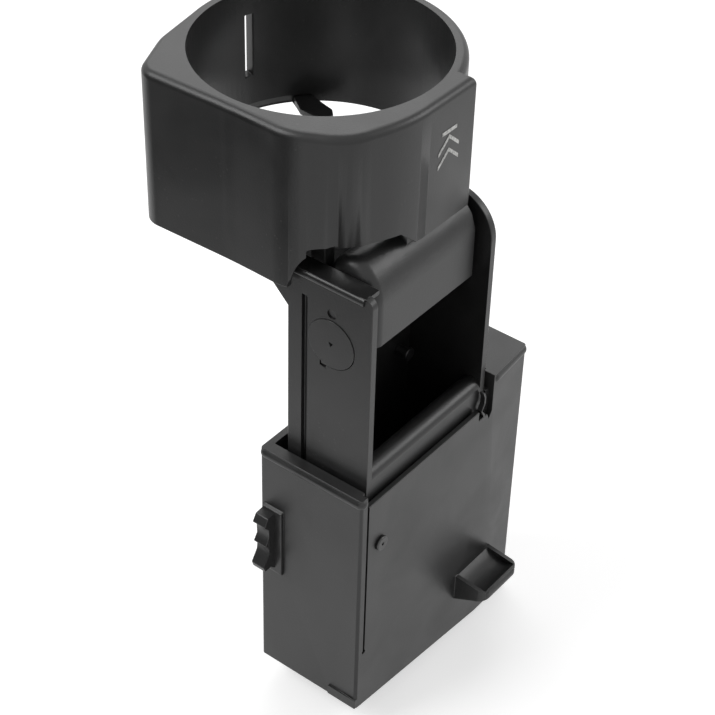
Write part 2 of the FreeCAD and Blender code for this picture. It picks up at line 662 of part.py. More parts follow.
def make_slide_rack():
    # Rack let into the right cheek's outer side, phased to take the pinion at rest
    y0, y1 = rack_y()
    low, high = rack_ends()
    pitch = math.pi * SLIDE_MODULE
    line = CHEEK_R1 + TOOTH_DED * SLIDE_MODULE + 0.3
    root = CHEEK_R1 + 0.25
    tip = line + TOOTH_ADD * SLIDE_MODULE
    slope = math.tan(math.radians(20))
    half = pitch / 4 - 0.1
    wide = half + (line - root) * slope
    narrow = half - (tip - line) * slope
    strip = [block(CHEEK_R1 - RACK_BASE, root, y0, y1, low, high)]
    for tooth in range(int(round((high - low) / pitch))):
        z = low + (tooth + 0.5) * pitch
        sides = [(root - 0.1, z - wide), (tip, z - narrow), (tip, z + narrow), (root - 0.1, z + wide)]
        strip.append(prism_y(sides, y0, y1))
    return strip[0].fuse(strip[1:]).removeSplitter()


def make_heart_cam():
    # Track behind the back plate, with the heart-shaped island that holds the carriage down
    y0, y1 = CHEEK_Y1, CHEEK_Y1 + TRACK_THICK
    top = LATCH_Z + LATCH_LENGTH + TRAVEL + 5
    x = LATCH_X
    centre = top - TRACK_LOOP
    low = centre - TRACK_LOOP
    inside = TRACK_HALF - TRACK_RIM
    frame = block(x - TRACK_HALF, x + TRACK_HALF, y0, y1, low, top)
    frame = frame.cut(block(x - inside, x + inside, y0 - 1, y1 + 1, low - 1, top - TRACK_RIM))
    heart = prism_y(
        [
            (x - 5.2, centre),
            (x - 3.6, centre + 4),
            (x - 3.0, centre + 2.4),
            (x - 1.9, centre + 3.6),
            (x - 1.9, centre),
            (x - 3.4, centre - 6),
        ],
        y0 + 0.5,
        y1,
    )
    sheet = block(x - inside - 1, x + inside + 1, y0, y0 + 0.5, low, top - 1)
    pegs = [rod(0.95, (x + dx, CHEEK_Y1 - 1.4, z), (x + dx, CHEEK_Y1 + 0.2, z)) for dx, z in HEART_PEGS]
    return frame.fuse([sheet, heart] + pegs).removeSplitter()


def make_latch_follower():
    # Swinging arm behind the carriage whose tip rides round the heart
    y0, y1 = CHEEK_Y1 + TRACK_THICK + 0.25, -WALL - 0.8
    tip_z = LATCH_Z + LATCH_LENGTH
    arm = block(LATCH_X - 1.6, LATCH_X + 1.6, y0, y1, LATCH_Z, tip_z)
    for z, radius in ((LATCH_Z, 2.8), (tip_z, 1.6)):
        arm = arm.fuse(rod(radius, (LATCH_X, y0, z), (LATCH_X, y1, z)))
    arm = arm.fuse(rod(1.0, (LATCH_X, CHEEK_Y1 + 0.7, tip_z), (LATCH_X, y1, tip_z)))
    return arm.cut(rod(1.05, (LATCH_X, -WALL - 4, LATCH_Z), (LATCH_X, -WALL, LATCH_Z)))


def make_latch_pin():
    shank = rod(1.0, (LATCH_X, -WALL - 2.6, LATCH_Z), (LATCH_X, -WALL + 1.2, LATCH_Z))
    head = rod(2.0, (LATCH_X, -WALL - 3.2, LATCH_Z), (LATCH_X, -WALL - 2.6, LATCH_Z))
    return shank.fuse(head)


def make_guide_pin():
    y = CHEEK_SLOT_Y - CHEEK_SLOT / 2
    end = CHEEK_L0 + CHEEK_SLOT_DEPTH - 0.3
    return rod(GUIDE_PIN, (LEFT + 0.6, y, GUIDE_PIN_Z), (end, y, GUIDE_PIN_Z))


def make_guide_shoe():
    # Slippery pad low on the left cheek's outer side
    x0 = LEFT + WALL + 0.4
    pad = block(x0, CHEEK_L0, SHOE_Y - 7, SHOE_Y + 7, SHOE_Z - 4, SHOE_Z + 4)
    corners = edges_of(pad, lambda b: b.XLength > 1 and b.YLength < 0.01 and b.ZLength < 0.01)
    pad = pad.makeFillet(1.5, corners)
    return pad.fuse(rod(SHOE_PEG, (CHEEK_L0 - 0.5, SHOE_Y, SHOE_Z), (CHEEK_L0 + 1.5, SHOE_Y, SHOE_Z)))


def make_stop_buffers():
    # Two rubber blocks on the chamber floor that the carriage comes down on
    high = CARRIAGE_BOTTOM - TRAVEL - 0.3
    pads = []
    low = -BOTTOM_SLOPE * HOUSING_WIDTH - WALL
    y = FRONT + STOP_FROM_FRONT
    for x in (CHEEK_L0 + 1.2, CHEEK_R0 + 1.2 - STOP_SIZE):
        pad = block(x, x + STOP_SIZE, y, y + STOP_SIZE, low, high)
        pads.append(pad.cut(bottom_wedge(FLOOR)))
    return Part.makeCompound(pads)


def make_ring_buffer():
    # Thin rubber button on the heel that the open ring comes to rest on
    x = (CHEEK_L0 + CHEEK_L1) / 2
    top = SKIRT_BOTTOM - 0.05
    head = block(x - 1.0, x + 1.0, STOP_Y - 1.2, STOP_Y + 1.8, SKIRT_BOTTOM - BUFFER, top)
    return head.fuse(rod(0.5, (x, STOP_Y, SKIRT_BOTTOM - BUFFER - 1.4), (x, STOP_Y, top - 0.1)))


def make_ring_damper():
    # Rotary damper snapped into the left cheek, its flange flush with the cheek's face
    y, z = damper_centre()
    flange = rod(DAMPER_RADIUS - 0.1, (CHEEK_L0 - 0.25, y, z), (CHEEK_L0 + 1.0, y, z))
    drum = rod(DAMPER_RADIUS - 2.3, (CHEEK_L0 + 1.0, y, z), (CHEEK_L1 - 0.2, y, z))
    low = z - DAMPER_RADIUS
    tongue = block(CHEEK_L0 + 0.3, CHEEK_L0 + 1.0, y + 2.1, y + 3.9, low - 0.6, low + 2.6)
    body = flange.fuse([drum, tongue])
    mark = [(y - 0.9, z + 0.6), (y + 0.9, z + 0.6), (y, z - 0.9)]
    body = body.cut(prism_x(mark, CHEEK_L0 - 0.5, CHEEK_L0 + 0.6))
    return body.cut(rod(1.3, (CHEEK_L0 + 1.2, y, z), (CHEEK_L1, y, z)))


def make_ring_damper_pinion():
    y, z = damper_centre()
    face = gear_face(DAMPER_TEETH, HINGE_MODULE, 0.2)
    gear = face.extrude(V(0, 0, GEAR_WIDTH))
    gear = placed(gear, (CHEEK_L1 + 0.3, y, z), (1, 0, 0), 0)
    return gear.fuse(rod(1.2, (CHEEK_L0 + 1.4, y, z), (CHEEK_L1 + 0.4, y, z)))


def make_ring_gear():
    face = gear_face(RING_TEETH, HINGE_MODULE, 0.2)
    gear = face.extrude(V(0, 0, GEAR_WIDTH))
    gear = placed(gear, (CHEEK_L1 + 0.3, HINGE_Y, HINGE_Z), (1, 0, 0), 180 / RING_TEETH)
    gear = gear.fuse(rod(4.2, (CHEEK_L1 + 0.3, HINGE_Y, HINGE_Z), (KNUCKLE_LEFT, HINGE_Y, HINGE_Z)))
    bore = PIN_RADIUS + PIN_FIT
    return gear.cut(rod(bore, (CHEEK_L1, HINGE_Y, HINGE_Z), (KNUCKLE_LEFT + 1, HINGE_Y, HINGE_Z)))


def make_hinge_pin():
    return rod(PIN_RADIUS, (CHEEK_L0 + 0.4, HINGE_Y, HINGE_Z), (CHEEK_R1 + 0.2, HINGE_Y, HINGE_Z))


def make_retaining_clip():
    # Open clip on the pin between the knuckle and the bush
    x0, x1 = KNUCKLE_RIGHT + 0.55, KNUCKLE_RIGHT + 1.2
    clip = ring_of(3.4, PIN_RADIUS, (x0, HINGE_Y, HINGE_Z), (x1, HINGE_Y, HINGE_Z))
    return clip.cut(block(x0 - 1, x1 + 1, HINGE_Y - 1.1, HINGE_Y + 1.1, HINGE_Z - 5, HINGE_Z))


def make_hinge_bush():
    barrel = rod(BUSH_RADIUS, (CHEEK_R0, HINGE_Y, HINGE_Z), (CHEEK_R1, HINGE_Y, HINGE_Z))
    flange = rod(7.0, (CHEEK_R0 - 1.2, HINGE_Y, HINGE_Z), (CHEEK_R0, HINGE_Y, HINGE_Z))
    bore = rod(PIN_RADIUS, (CHEEK_R0 - 2, HINGE_Y, HINGE_Z), (CHEEK_R1 + 1, HINGE_Y, HINGE_Z))
    return barrel.fuse(flange).cut(bore)


def make_hinge_spring():
    # Torsion spring on the pin that swings the ring open
    x0, x1 = LATCH_X - 6, LATCH_X + 6
    coil = helix_spring(3.0, SPRING_WIRE, 0, x1 - x0, 10)
    return placed(coil, (x0, HINGE_Y, HINGE_Z), (1, 0, 0), 0)


def outline_corners():
    # Plan of the ring's outside: waisted left side, broad front bend, flat front, and the back bow
    tangent = math.radians(99)
    back = (RING_OUTER * math.cos(tangent), RING_CENTRE_Y + RING_OUTER * math.sin(tangent) - 0.05)
    return [
        (-SIDE_BULGE, RING_CENTRE_Y + 30.6, 7.0),
        (-SIDE_BULGE + 1.1, RING_CENTRE_Y - 2.0, 300.0),
        (-SIDE_BULGE + 0.7, RING_CENTRE_Y - 22.0, 20.0),
        (-SIDE_BULGE + 8.7, RING_CENTRE_Y - 37.2, 18.0),
        (-SIDE_BULGE + 27.7, RING_FLAT + 0.1, 50.0),
        (FLAT_RIGHT, RING_FLAT, 1.2),
        (FLAT_RIGHT, RING_CENTRE_Y, 1.0),
        (back[0], back[1], 1.0),
        (-26.0, RING_CENTRE_Y + 37.9, 18.0),
    ]


def ring_pocket():
    # The space between the ring's outer skin and its cup wall, open below
    outline = rounded_outline(outline_corners(), SKIRT_BOTTOM - 1)
    inner = outline.makeOffset2D(-SKIN)
    space = Part.Face(inner).extrude(V(0, 0, SKIRT_HEIGHT - SKIN + 1))
    centre = (0, RING_CENTRE_Y)
    core = rod(CUP_RADIUS + SKIN, (*centre, SKIRT_BOTTOM - 2), (*centre, RING_TOP + 1))
    space = space.cut(core)
    front, back = RING_CENTRE_Y - CUP_RADIUS, RING_CENTRE_Y + 60
    space = space.cut(block(0, RING_OUTER, front, back, SKIRT_BOTTOM - 2, RING_TOP))
    shell = rod(SWING_RADIUS + SKIN, (LEFT, HINGE_Y, HINGE_Z), (RIGHT, HINGE_Y, HINGE_Z))
    space = space.cut(shell)
    for angle in RIB_ANGLES:
        rib = block(CUP_RADIUS, RING_OUTER + 20, -0.6, 0.6, SKIRT_BOTTOM + 4, RING_TOP)
        rib.rotate(V(0, 0, 0), V(0, 0, 1), angle)
        rib.translate(V(0, RING_CENTRE_Y, 0))
        space = space.cut(rib)
    return space


def quarter(start, corner, end):
    # Quarter of an ellipse from start to end, bulging toward the corner
    k = 0.5523
    poles = [start, start + (corner - start) * k, end + (corner - end) * k, end]
    curve = Part.BezierCurve()
    curve.setPoles(poles)
    return curve.toShape()


def knuckle_roll(inset, x0, x1, low):
    # The roll's solid: upright front, oval top about the hinge, open-ended below
    front = HINGE_Y - KNUCKLE_FRONT + inset
    back = HINGE_Y + KNUCKLE_BACK - inset
    top = RING_BOTTOM + 1.0 - inset
    shoulder = HINGE_Z + 1.7
    crown = V(x0, HINGE_Y, top)
    a, b, c, d = [V(x0, y, z) for y, z in ((front, low), (front, shoulder), (back, shoulder), (back, low))]
    edges = [
        Part.LineSegment(a, b).toShape(),
        quarter(b, V(x0, front, top), crown),
        quarter(crown, V(x0, back, top), c),
        Part.LineSegment(c, d).toShape(),
        Part.LineSegment(d, a).toShape(),
    ]
    return Part.Face(Part.Wire(edges)).extrude(V(x1 - x0, 0, 0))


def knuckle():
    roll = knuckle_roll(0, KNUCKLE_LEFT, KNUCKLE_RIGHT, HINGE_Z - KNUCKLE_DROP)
    front = HINGE_Y - KNUCKLE_FRONT
    end = edges_of(roll, lambda b: b.XMax < KNUCKLE_LEFT + 0.1 and b.ZLength > 1)
    roll = roll.makeFillet(KNUCKLE_ROUND, end)
    lifted = prism_x(
        [
            (front + 6, HINGE_Z - KNUCKLE_DROP - 1),
            (HINGE_Y + KNUCKLE_BACK + 1, HINGE_Z - KNUCKLE_DROP - 1),
            (HINGE_Y + KNUCKLE_BACK + 1, HINGE_Z - KNUCKLE_DROP + 5),
        ],
        KNUCKLE_LEFT - 1,
        KNUCKLE_RIGHT + 1,
    )
    return roll.cut(lifted)


def knuckle_room():
    # The space inside the roll, under the floor that the cup stands on
    low = HINGE_Z - KNUCKLE_DROP - 5
    return knuckle_roll(KNUCKLE_SKIN, KNUCKLE_LEFT + EAR, KNUCKLE_RIGHT - EAR, low)


def cup_rests():
    # Two moulded fingers low in the ring that the cup's foot stands on
    points = [(24.7, 43.6), (28.4, 40.9), (26.0, 29.0), (24.0, 27.0), (19.5, 27.0), (19.8, 36.6)]
    right = prism_z(points, RING_BOTTOM, RING_BOTTOM + LEDGE_THICK)
    left = prism_z([(-x, y) for x, y in points], RING_BOTTOM, RING_BOTTOM + LEDGE_THICK)
    return [right, left]


def swing_room():
    # What the ring leaves free round the hinge, so that it can turn past the carriage
    inner = -SIDE_BULGE + SKIN + 1.0
    axis = (HINGE_Y, HINGE_Z)
    side = KNUCKLE_LEFT - 0.3
    room = rod(SWING_RADIUS, (inner, *axis), (side, *axis))
    over_roll = rod(SWING_RADIUS, (side, *axis), (COLLAR_START, *axis))
    behind_roll = block(LEFT, RIGHT, HINGE_Y + KNUCKLE_BACK - 1, 0, SKIRT_BOTTOM - 20, RING_TOP)
    room = room.fuse(over_roll.cut(behind_roll))
    room = room.fuse(rod(ARCH_RADIUS, (LEFT - 2, ARCH_Y, ARCH_Z), (ARCH_END, ARCH_Y, ARCH_Z)))
    low_front = math.hypot(RING_FLAT - HINGE_Y, RING_BOTTOM - HINGE_Z)
    length = COLLAR_END - COLLAR_START
    cone = Part.makeCone(SWING_RADIUS, low_front, length, V(COLLAR_START, *axis), V(1, 0, 0))
    under = rod(SWING_RADIUS, (COLLAR_START, *axis), (RIGHT + 2, *axis))
    under = under.cut(block(LEFT, RIGHT + 3, FRONT, 0, RING_BOTTOM, RING_TOP))
    beside = rod(SWING_RADIUS, (FLAT_RIGHT, *axis), (RIGHT + 2, *axis))
    return room.fuse([cone, under, beside])


def collar_web():
    # Wall that ties the ring's front to the roll, set back so that a valley shows between them
    front = RING_FLAT + 2.6
    low = HINGE_Z + 8
    high = HINGE_Z + SWING_RADIUS + SKIN
    return block(COLLAR_END - 1, FLAT_RIGHT, front, front + 4.0, low, high)


def make_ring():
    outline = rounded_outline(outline_corners(), SKIRT_BOTTOM)
    body = Part.Face(outline).extrude(V(0, 0, SKIRT_HEIGHT))
    centre = (0, RING_CENTRE_Y)
    drum = rod(RING_OUTER, (*centre, RING_BOTTOM), (*centre, RING_TOP))
    body = body.fuse(drum).removeSplitter()
    rim = edges_of(body, lambda b: b.ZMin > RING_TOP - 0.01)
    body = body.makeFillet(RIM_ROUND, rim)
    relief_top = RING_BOTTOM + LEDGE_THICK + CUP_RELIEF
    body = body.cut(rod(CUP_RADIUS + CUP_RELIEF, (*centre, SKIRT_BOTTOM - 1), (*centre, relief_top)))
    body = body.cut(rod(CUP_RADIUS, (*centre, relief_top - 1), (*centre, RING_TOP + 1)))
    body = body.cut(ring_pocket())
    pad_left = min(LEFT + 2.0, -SIDE_BULGE + 1.7)
    pad_right = CHEEK_L1 + 2.1
    pad_top = SKIRT_BOTTOM + 5.2
    body = body.fuse(block(pad_left, pad_right, STOP_Y - 3.3, STOP_Y + 4.0, SKIRT_BOTTOM, pad_top))
    body = body.cut(swing_room())
    body = body.fuse([knuckle(), collar_web()])
    body = body.cut(rod(CUP_RADIUS, (*centre, RING_BOTTOM + LEDGE_THICK), (*centre, RING_TOP + 1)))
    body = body.cut(knuckle_room())
    body = body.fuse(cup_rests())
    slot_low = RING_TOP - CUP_SLOT_DOWN
    slot_top = slot_low + CUP_SLOT_HEIGHT
    slot = block(CUP_RADIUS - 3, RING_OUTER + 2, -CUP_SLOT / 2, CUP_SLOT / 2, slot_low, slot_top)
    slot.rotate(V(0, 0, 0), V(0, 0, 1), CUP_SLOT_ANGLE)
    slot.translate(V(0, RING_CENTRE_Y, 0))
    body = body.cut(slot)
    bore = PIN_RADIUS + PIN_FIT
    body = body.cut(rod(bore, (KNUCKLE_LEFT - 1, HINGE_Y, HINGE_Z), (KNUCKLE_RIGHT + 1, HINGE_Y, HINGE_Z)))
    return body.removeSplitter()


def main():
    parts = {
        "housing": make_housing(),
        "rear_cover": make_rear_cover(),
        "cover_screws": make_cover_screws(),
        "panel_rivet": make_panel_rivet(),
        "eject_spring": make_eject_spring(),
        "spring_anchor": make_spring_anchor(),
        "slide_damper": make_slide_damper(),
        "slide_damper_pinion": make_slide_pinion(),
        "latch_follower": make_latch_follower(),
        "latch_pin": make_latch_pin(),
        "guide_pin": make_guide_pin(),
        "stop_buffers": make_stop_buffers(),
        "carriage": make_carriage(),
        "slide_rack": make_slide_rack(),
        "heart_cam": make_heart_cam(),
        "guide_shoe": make_guide_shoe(),
        "ring_buffer": make_ring_buffer(),
        "retaining_clip": make_retaining_clip(),
        "ring_damper": make_ring_damper(),
        "ring_damper_pinion": make_ring_damper_pinion(),
        "hinge_pin": make_hinge_pin(),
        "hinge_bush": make_hinge_bush(),
        "hinge_spring": make_hinge_spring(),
        "ring": make_ring(),
        "ring_gear": make_ring_gear(),
    }
    os.makedirs("parts", exist_ok=True)
    for name, shape in parts.items():
        print(name, "solids", len(shape.Solids), "valid", shape.isValid(), "volume", round(shape.Volume, 1))
        shape.exportStep(os.path.join("parts", name + ".step"))


main()
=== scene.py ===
import math
import bmesh
import bpy
from mathutils import Matrix, Vector
from mathutils.bvhtree import BVHTree


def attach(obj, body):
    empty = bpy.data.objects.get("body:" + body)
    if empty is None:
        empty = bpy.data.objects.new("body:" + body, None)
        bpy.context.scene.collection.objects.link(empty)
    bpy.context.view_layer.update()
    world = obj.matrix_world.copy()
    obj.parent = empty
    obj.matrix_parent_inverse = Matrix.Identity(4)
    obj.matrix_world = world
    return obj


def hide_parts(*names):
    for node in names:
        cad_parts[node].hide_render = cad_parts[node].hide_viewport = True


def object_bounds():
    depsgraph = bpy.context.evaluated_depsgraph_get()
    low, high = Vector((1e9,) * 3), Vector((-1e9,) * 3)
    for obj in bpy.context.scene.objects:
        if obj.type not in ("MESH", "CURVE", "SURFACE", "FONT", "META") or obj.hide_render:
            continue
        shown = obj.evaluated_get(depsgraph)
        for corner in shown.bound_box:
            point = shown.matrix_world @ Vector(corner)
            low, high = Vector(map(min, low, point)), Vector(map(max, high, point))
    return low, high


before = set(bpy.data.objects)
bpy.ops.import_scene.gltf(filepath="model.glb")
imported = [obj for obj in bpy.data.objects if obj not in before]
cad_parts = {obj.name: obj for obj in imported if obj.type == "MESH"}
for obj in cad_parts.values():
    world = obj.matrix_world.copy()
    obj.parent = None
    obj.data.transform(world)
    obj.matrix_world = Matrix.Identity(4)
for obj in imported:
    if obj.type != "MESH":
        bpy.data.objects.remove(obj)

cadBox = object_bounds()
scene = bpy.context.scene
mm = 0.001


# Nodes, materials and objects
def addNode(tree, kind, **settings):
    node = tree.nodes.new(kind)
    for key, value in settings.items():
        setattr(node, key, value)
    return node


def mathNode(tree, operation, first, second, clamp=False):
    node = addNode(tree, "ShaderNodeMath", operation=operation, use_clamp=clamp)
    for socket, value in zip(node.inputs, (first, second)):
        if isinstance(value, (int, float)):
            socket.default_value = value
        else:
            tree.links.new(value, socket)
    return node.outputs[0]


def noiseNode(tree, vector, scale, detail, rough=0.5):
    node = addNode(tree, "ShaderNodeTexNoise")
    node.inputs["Scale"].default_value = scale
    node.inputs["Detail"].default_value = detail
    node.inputs["Roughness"].default_value = rough
    tree.links.new(vector, node.inputs["Vector"])
    return node.outputs["Fac"]


def mapRange(tree, value, low, high, toLow, toHigh):
    node = addNode(tree, "ShaderNodeMapRange")
    tree.links.new(value, node.inputs["Value"])
    for label, number in (("From Min", low), ("From Max", high), ("To Min", toLow), ("To Max", toHigh)):
        node.inputs[label].default_value = number
    return node.outputs["Result"]


def colourMix(tree, factor, first, second):
    node = addNode(tree, "ShaderNodeMix", data_type="RGBA")
    tree.links.new(factor, node.inputs[0])
    for socket, value in ((node.inputs[6], first), (node.inputs[7], second)):
        if isinstance(value, tuple):
            socket.default_value = (*value, 1.0)
        else:
            tree.links.new(value, socket)
    return node.outputs[2]


def addBump(tree, shader, height, strength, distance):
    bump = addNode(tree, "ShaderNodeBump")
    bump.inputs["Strength"].default_value = strength
    bump.inputs["Distance"].default_value = distance
    tree.links.new(height, bump.inputs["Height"])
    tree.links.new(bump.outputs["Normal"], shader.inputs["Normal"])


def newMaterial(name):
    material = bpy.data.materials.new(name)
    material.use_nodes = True
    tree = material.node_tree
    return material, tree, tree.nodes["Principled BSDF"]


def addObject(name, mesh):
    data = bpy.data.meshes.new(name)
    mesh.to_mesh(data)
    mesh.free()
    holder = bpy.data.objects.new(name, data)
    scene.collection.objects.link(holder)
    return holder


# Look of the moulded plastic: node groups that every plastic finish shares
def newGroup(name, inputs, outputs):
    group = bpy.data.node_groups.new(name, "ShaderNodeTree")
    for label, kind, value in inputs:
        socket = group.interface.new_socket(label, in_out="INPUT", socket_type=kind)
        if value is not None:
            socket.default_value = value
    for label, kind in outputs:
        group.interface.new_socket(label, in_out="OUTPUT", socket_type=kind)
    return group, group.nodes.new("NodeGroupInput"), group.nodes.new("NodeGroupOutput")


mouldGrain = {
    "grain": 2600.0, "swirl": 55.0, "fine": (1500.0, 4.0, 0.6), "pitShare": 0.6,
    "swirlDetail": 5.0, "swirlDistortion": 0.8, "swirlRange": (0.3, 0.7),
    "specks": 420.0, "speckEdge": (0.05, 0.16), "patches": (37.0, 2.0), "patchRange": (0.5, 0.62),
}
rubbing = {"amount": 0.6, "breaks": (180.0, 6.0, 0.65), "breakRange": (0.38, 0.62), "least": 0.25}


def buildMouldTexture(look):
    # Spark-eroded mould texture: fine pits, a faint slow swirl, and a few specks of dust
    group, given, out = newGroup(
        "mouldTexture",
        [("Vector", "NodeSocketVector", None), ("Grain", "NodeSocketFloat", look["grain"]),
         ("Swirl", "NodeSocketFloat", look["swirl"])],
        [("Height", "NodeSocketFloat"), ("Cloud", "NodeSocketFloat"), ("Dust", "NodeSocketFloat")],
    )
    place = given.outputs["Vector"]
    pits = addNode(group, "ShaderNodeTexVoronoi", feature="SMOOTH_F1")
    group.links.new(place, pits.inputs["Vector"])
    group.links.new(given.outputs["Grain"], pits.inputs["Scale"])
    fine = noiseNode(group, place, *look["fine"])
    height = mathNode(group, "MULTIPLY_ADD", pits.outputs["Distance"], look["pitShare"])
    group.links.new(fine, height.node.inputs[2])
    group.links.new(height, out.inputs["Height"])
    swirl = addNode(group, "ShaderNodeTexNoise")
    swirl.inputs["Detail"].default_value = look["swirlDetail"]
    swirl.inputs["Distortion"].default_value = look["swirlDistortion"]
    group.links.new(place, swirl.inputs["Vector"])
    group.links.new(given.outputs["Swirl"], swirl.inputs["Scale"])
    cloud = mapRange(group, swirl.outputs["Fac"], *look["swirlRange"], 0.0, 1.0)
    group.links.new(cloud, out.inputs["Cloud"])
    specks = addNode(group, "ShaderNodeTexVoronoi", feature="F1")
    specks.inputs["Scale"].default_value = look["specks"]
    group.links.new(place, specks.inputs["Vector"])
    near = mapRange(group, specks.outputs["Distance"], *look["speckEdge"], 1.0, 0.0)
    sparse = mapRange(group, noiseNode(group, place, *look["patches"]), *look["patchRange"], 0.0, 1.0)
    group.links.new(mathNode(group, "MULTIPLY", near, sparse), out.inputs["Dust"])
    return group


def buildRubbedEdge(look):
    # Where a hand or a mould's parting line has polished an edge
    group, given, out = newGroup(
        "rubbedEdge",
        [("Vector", "NodeSocketVector", None), ("Edge", "NodeSocketFloat", 0.0),
         ("Amount", "NodeSocketFloat", look["amount"])],
        [("Mask", "NodeSocketFloat")],
    )
    breaks = noiseNode(group, given.outputs["Vector"], *look["breaks"])
    broken = mapRange(group, breaks, *look["breakRange"], look["least"], 1.0)
    mask = mathNode(group, "MULTIPLY", given.outputs["Edge"], broken)
    group.links.new(mathNode(group, "MULTIPLY", mask, given.outputs["Amount"], True), out.inputs["Mask"])
    return group


mouldTexture = buildMouldTexture(mouldGrain)
rubbedEdge = buildRubbedEdge(rubbing)


def mouldedPlastic(name, look):
    material, tree, shader = newMaterial(name)
    place = addNode(tree, "ShaderNodeTexCoord").outputs["Object"]
    texture = addNode(tree, "ShaderNodeGroup", node_tree=mouldTexture)
    texture.inputs["Grain"].default_value = look["grain"]
    texture.inputs["Swirl"].default_value = look["swirl"]
    tree.links.new(place, texture.inputs["Vector"])
    edge = addNode(tree, "ShaderNodeAttribute", attribute_name="edge")
    rubbed = addNode(tree, "ShaderNodeGroup", node_tree=rubbedEdge)
    rubbed.inputs["Amount"].default_value = look["rub"]
    tree.links.new(place, rubbed.inputs["Vector"])
    tree.links.new(edge.outputs["Fac"], rubbed.inputs["Edge"])
    base = colourMix(tree, texture.outputs["Cloud"], look["dark"], look["light"])
    worn = colourMix(tree, rubbed.outputs["Mask"], base, look["worn"])
    dusty = colourMix(tree, texture.outputs["Dust"], worn, look["dust"])
    tree.links.new(dusty, shader.inputs["Base Color"])
    rough = mapRange(tree, texture.outputs["Cloud"], 0.0, 1.0, *look["rough"])
    polished = mathNode(tree, "MULTIPLY", rubbed.outputs["Mask"], look["polish"])
    tree.links.new(mathNode(tree, "SUBTRACT", rough, polished, True), shader.inputs["Roughness"])
    addBump(tree, shader, texture.outputs["Height"], look["bump"], look["depth"])
    shader.inputs["Specular IOR Level"].default_value = look["specular"]
    return material


metalGrain = {"cloud": (240.0, 5.0, 0.6), "lines": (900.0, 3.0, 0.6), "cloudRange": (0.3, 0.7),
              "bump": 0.25, "depth": 0.00003}


def metalFinish(name, look):
    # Drawn or plated metal: fine lines along the wire and slightly uneven gloss
    material, tree, shader = newMaterial(name)
    place = addNode(tree, "ShaderNodeTexCoord").outputs["Object"]
    cloud = noiseNode(tree, place, *metalGrain["cloud"])
    drawn = addNode(tree, "ShaderNodeMapping")
    drawn.inputs["Scale"].default_value = look["lines"]
    tree.links.new(place, drawn.inputs["Vector"])
    lines = noiseNode(tree, drawn.outputs["Vector"], *metalGrain["lines"])
    tree.links.new(colourMix(tree, cloud, look["dark"], look["light"]), shader.inputs["Base Color"])
    rough = mapRange(tree, cloud, *metalGrain["cloudRange"], *look["rough"])
    tree.links.new(rough, shader.inputs["Roughness"])
    shader.inputs["Metallic"].default_value = 1.0
    addBump(tree, shader, lines, metalGrain["bump"], metalGrain["depth"])
    return material


blackPlastic = {
    "dark": (0.013, 0.0131, 0.0133), "light": (0.02, 0.0201, 0.0201),
    "worn": (0.05, 0.05, 0.049), "dust": (0.036, 0.0355, 0.035),
    "grain": 2600.0, "swirl": 55.0, "rough": (0.34, 0.46), "rub": 0.35, "polish": 0.12,
    "bump": 0.32, "depth": 0.00008, "specular": 0.44,
}
plastics = {
    # Painted light: the housing's base colour is set lighter than the other black parts so that its walls
    # render brighter, in place of more light on them
    "housingBlackPaintedLight": {"dark": (0.017, 0.0171, 0.0173), "light": (0.026, 0.0261, 0.0261)},
    "carriageBlack": {"dark": (0.011, 0.011, 0.0112), "light": (0.017, 0.017, 0.017), "rough": (0.3, 0.4)},
    "ringBlack": {"rough": (0.32, 0.42), "swirl": 40.0},
    "damperBlack": {"dark": (0.014, 0.014, 0.0143), "light": (0.02, 0.02, 0.02), "rough": (0.28, 0.36),
                    "grain": 3400.0},
    "acetalWhite": {"dark": (0.62, 0.60, 0.55), "light": (0.72, 0.70, 0.65), "worn": (0.8, 0.79, 0.76),
                    "dust": (0.4, 0.38, 0.35), "grain": 1800.0, "swirl": 90.0, "rub": 0.3, "polish": 0.1,
                    "bump": 0.15, "depth": 0.00005, "specular": 0.5},
    "acetalBlack": {"dark": (0.012, 0.012, 0.012), "light": (0.018, 0.018, 0.018), "rough": (0.3, 0.38),
                    "bump": 0.12},
    "rubberBlack": {"dark": (0.016, 0.016, 0.016), "light": (0.026, 0.026, 0.025), "rough": (0.7, 0.85),
                    "bump": 0.5, "specular": 0.3},
}
metals = {
    "platedSteel": {"dark": (0.42, 0.42, 0.41), "light": (0.62, 0.62, 0.6), "rough": (0.22, 0.36),
                    "lines": (1.0, 12.0, 12.0)},
    "springSteel": {"dark": (0.3, 0.3, 0.31), "light": (0.5, 0.5, 0.5), "rough": (0.2, 0.32),
                    "lines": (8.0, 8.0, 1.0)},
    "blackenedSteel": {"dark": (0.05, 0.05, 0.05), "light": (0.1, 0.1, 0.1), "rough": (0.3, 0.42),
                       "lines": (8.0, 1.0, 8.0)},
}
finishes = {name: mouldedPlastic(name, {**blackPlastic, **own}) for name, own in plastics.items()}
finishes.update({name: metalFinish(name, look) for name, look in metals.items()})
print("finishes made:", len(finishes))


# The moulded pieces, with the soft edges a mould gives them
rounding = {"room": (1.3, 2.6), "slack": 0.12, "plainEnd": 1.6, "roundedEnd": 2.4, "straight": 140.0,
            "longEdge": 8 * mm, "smoothEdge": 40.0}


def hasRoom(edge, surface, radius):
    # The wall on both sides of an edge is wide enough for the rounding
    middle = (edge.verts[0].co + edge.verts[1].co) / 2
    along = (edge.verts[1].co - edge.verts[0].co).normalized()
    for face in edge.link_faces:
        inward = face.normal.cross(along)
        if (face.calc_center_median() - middle).dot(inward) < 0:
            inward = -inward
        for share in rounding["room"]:
            spot = middle + inward * radius * share
            if surface.find_nearest(spot)[3] > radius * rounding["slack"]:
                return False
    return True


